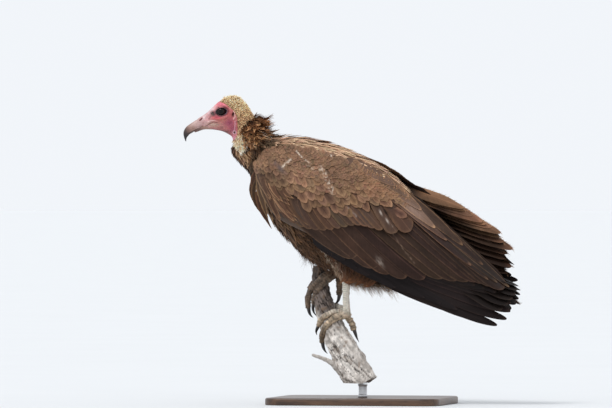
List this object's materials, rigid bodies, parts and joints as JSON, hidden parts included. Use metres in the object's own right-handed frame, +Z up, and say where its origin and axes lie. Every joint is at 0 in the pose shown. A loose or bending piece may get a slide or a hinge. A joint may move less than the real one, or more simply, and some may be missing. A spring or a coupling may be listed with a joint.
{
  "type": "hooded vulture on a branch perch",
  "caption": "Life-size still model of an adult hooded vulture with folded wings, gripping a short sloping length of dead branch that a rod holds over a flat base.",
  "frame": {"origin": "centre of the underside of the stand's base, on the surface it rests on", "axes": "+Z up; -X is the way the bird's body faces; +X towards its tail; -Y is the bird's left side and +Y its right side"},
  "size_m": [0.5782, 0.224, 0.5239],
  "materials": {
    "body_feathers": "matt contour feathers, mid brown with paler edges",
    "flight_feathers": "blackish brown flight feathers with a faint sheen",
    "down": "soft brown ruff and neck down",
    "bare_skin": "bare wrinkled face skin, pink to red, with pale brown down on the crown",
    "bill_horn": "satin horn, pink at the base and dark brown at the hook",
    "eye": "wet, dark brown",
    "leg_skin": "scaly, pale grey",
    "claw_horn": "satin black horn",
    "branch_wood": "weathered, barkless, pale grey",
    "stand_steel": "brushed",
    "stand_wood": "dark stained, satin lacquer"
  },
  "bodies": {
    "root": {"trunk": "body_feathers", "neck": "down", "head": "bare_skin", "bill_upper": "bill_horn", "bill_lower": "bill_horn", "eye_left": "eye", "eye_right": "eye", "wing_left": "body_feathers", "wing_right": "body_feathers", "wing_tip_left": "flight_feathers", "wing_tip_right": "flight_feathers", "tail": "flight_feathers", "thigh_left": "body_feathers", "thigh_right": "body_feathers", "tarsus_left": "leg_skin", "tarsus_right": "leg_skin", "foot_left": "leg_skin", "foot_right": "leg_skin", "claw_left_middle": "claw_horn", "claw_left_inner": "claw_horn", "claw_left_outer": "claw_horn", "claw_left_hind": "claw_horn", "claw_right_middle": "claw_horn", "claw_right_inner": "claw_horn", "claw_right_outer": "claw_horn", "claw_right_hind": "claw_horn", "perch_branch": "branch_wood", "stand_rod": "stand_steel", "stand_base": "stand_wood"}
  },
  "joints": []
}
